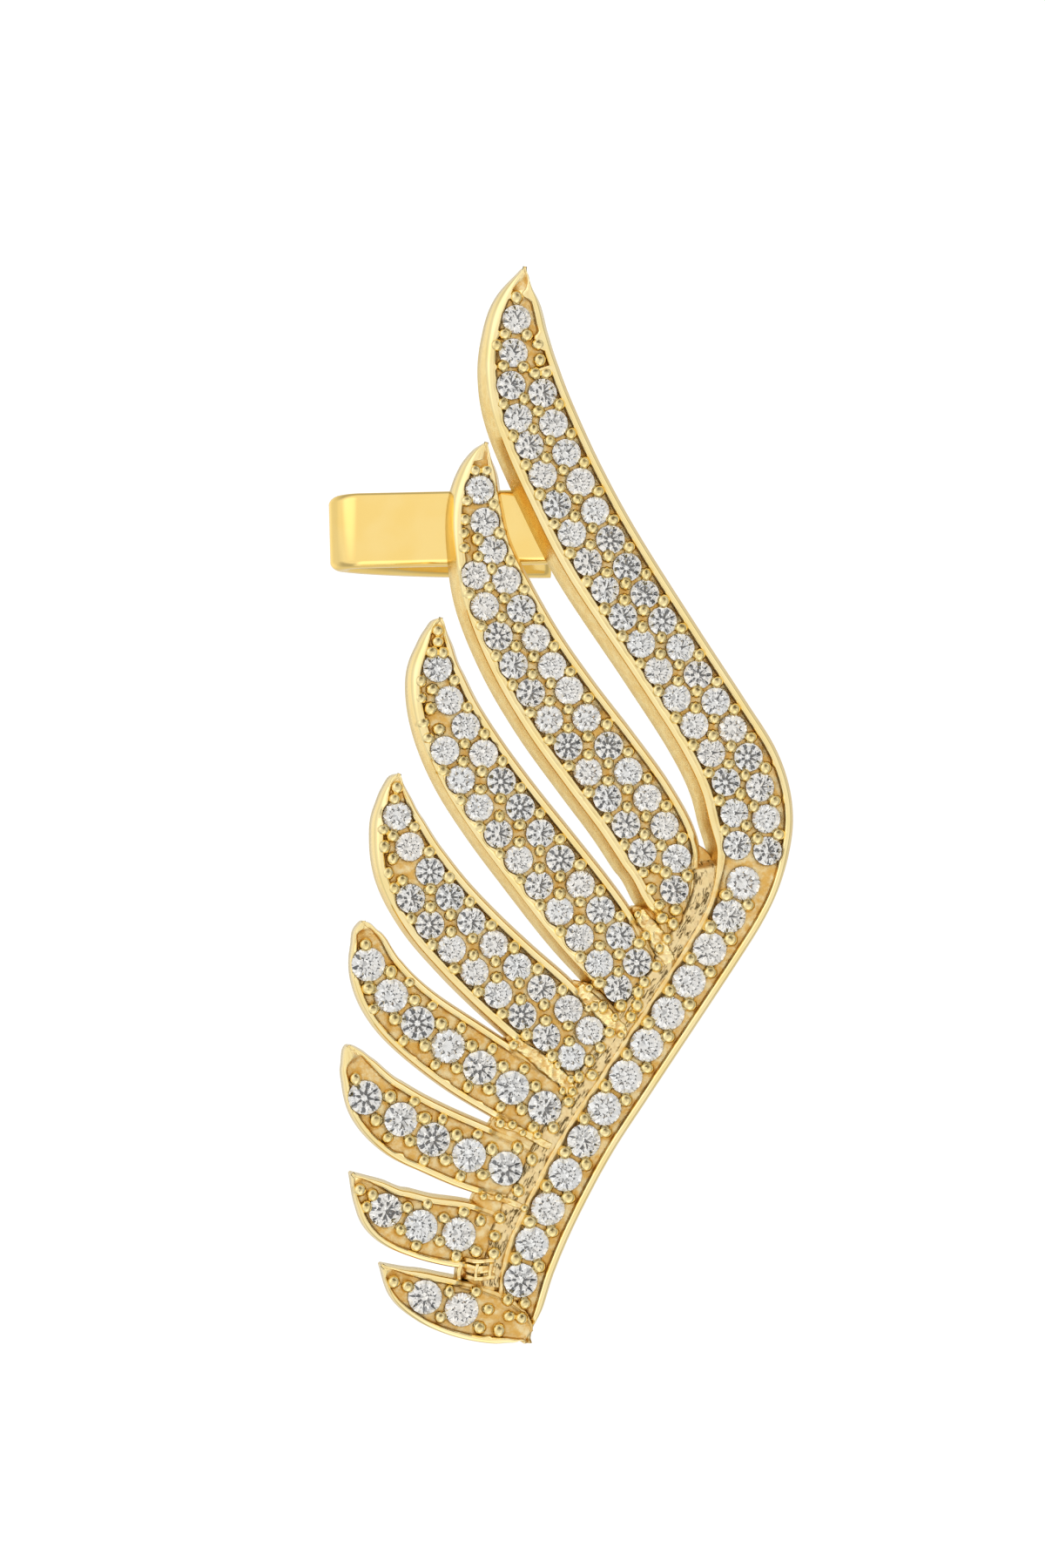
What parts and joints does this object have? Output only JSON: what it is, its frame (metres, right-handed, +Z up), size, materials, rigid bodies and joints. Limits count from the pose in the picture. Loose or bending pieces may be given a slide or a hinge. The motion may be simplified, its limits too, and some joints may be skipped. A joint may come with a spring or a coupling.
{
  "type": "ear climber",
  "caption": "Gold-tone wing-shaped ear climber with feathers paved in round clear stones on a curved spine, and a plain folded band behind that grips the rim of the ear.",
  "frame": {"origin": "bottom centre of the bounding box of the climber as it lies on a flat surface, face up, on the end of its ear band, the foot of the wing and the bend of the spine", "axes": "+Y runs along the wing from its foot to its longest feather's tip, +X towards the bend of the spine, +Z up from the surface; the wing's face is tilted about 25 degrees from level towards -X and +Y"},
  "size_m": [0.017, 0.0404, 0.0102],
  "materials": {
    "gold": "polished yellow gold plating, left rough in the trench and the stone channels",
    "stones": "clear round brilliant-cut crystal"
  },
  "bodies": {
    "root": {"wing_with_ear_band": "gold"}
  },
  "joints": []
}
